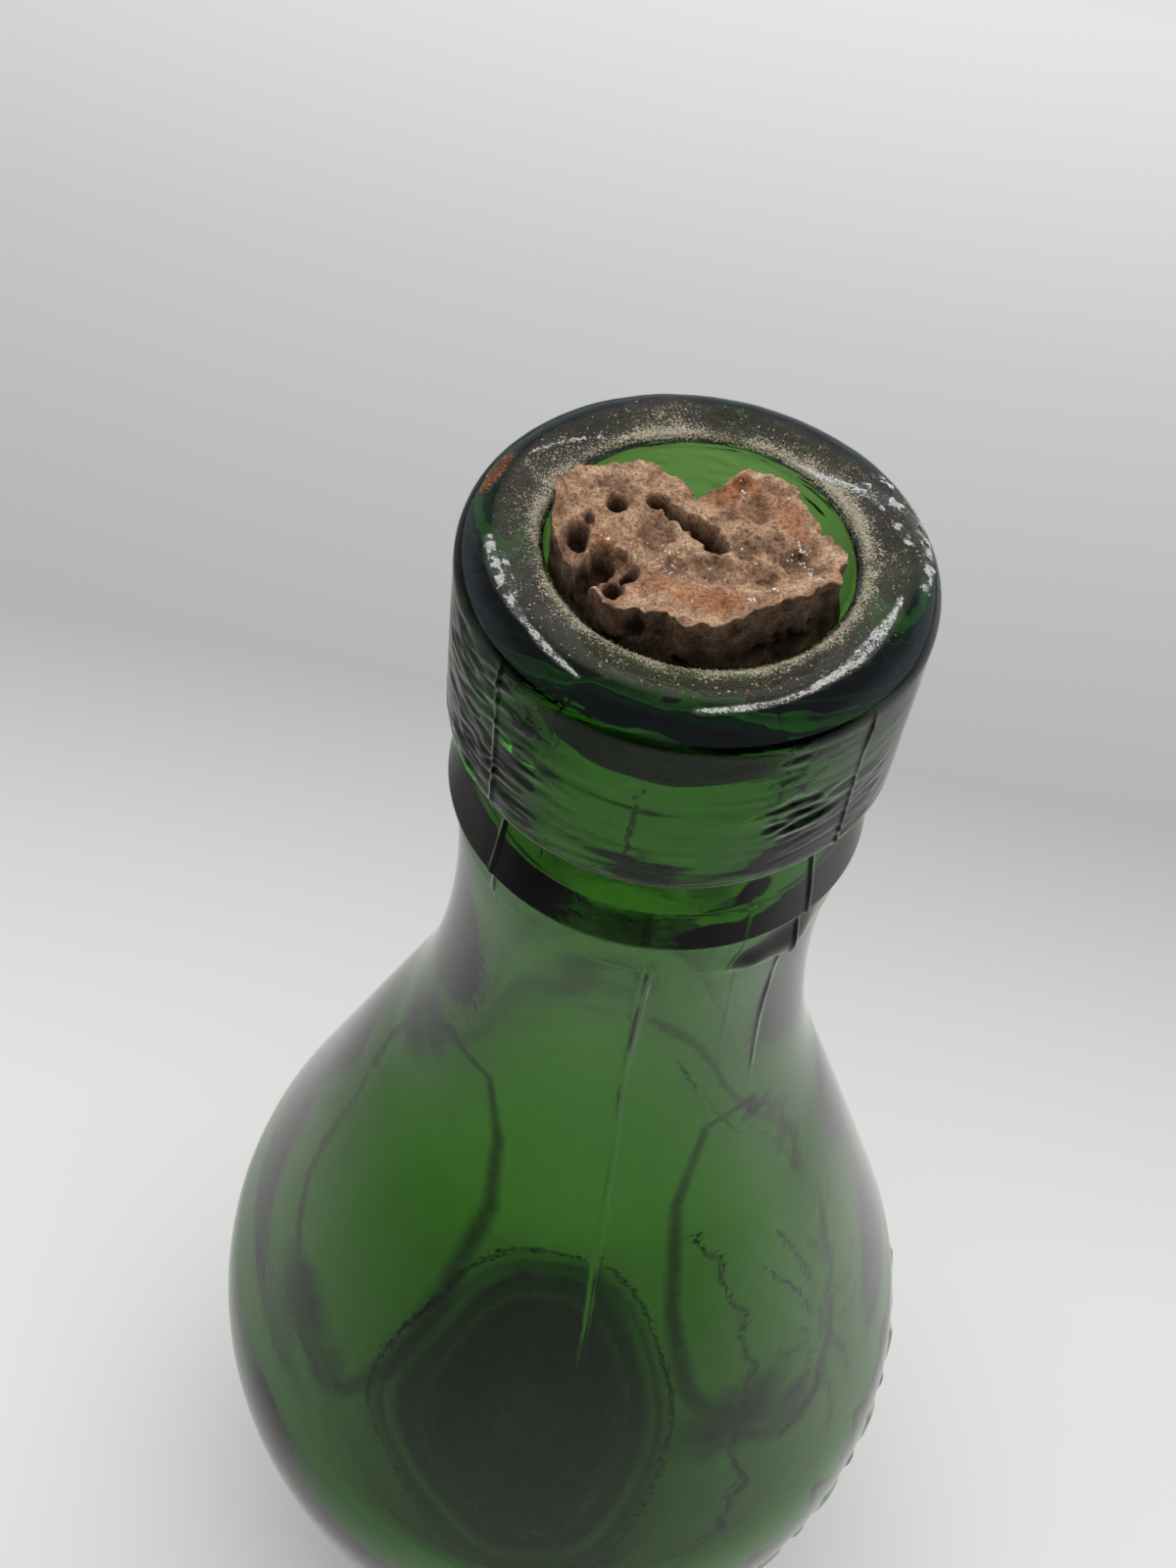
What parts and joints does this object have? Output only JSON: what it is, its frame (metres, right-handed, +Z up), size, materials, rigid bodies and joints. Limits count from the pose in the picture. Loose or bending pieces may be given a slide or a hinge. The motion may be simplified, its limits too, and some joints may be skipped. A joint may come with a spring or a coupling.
{
  "type": "embossed glass bottle",
  "caption": "Old green glass bottle, club shaped with a long sloping shoulder, a ringed and banded lip, raised ornament on its side and the broken stub of a cork in its bore.",
  "frame": {"origin": "middle of the bearing ring that the bottle stands on", "axes": "+Z up along the bottle's axis, -Y the side that faces the viewer, +X towards the raised ornament"},
  "size_m": [0.0891, 0.0886, 0.2155],
  "materials": {
    "green_glass": "clear deep green glass, hand finished, with dusty lime crust on the rim",
    "old_cork": "matt, crumbling brown cork"
  },
  "bodies": {
    "bottle": {"bottle_glass": "green_glass"},
    "cork": {"cork_stub": "old_cork"}
  },
  "joints": [
    {"name": "cork_pull", "type": "slide", "parent": "bottle", "child": "cork", "axis": [0, 0, 1], "range_m": [0, 0.03]}
  ]
}
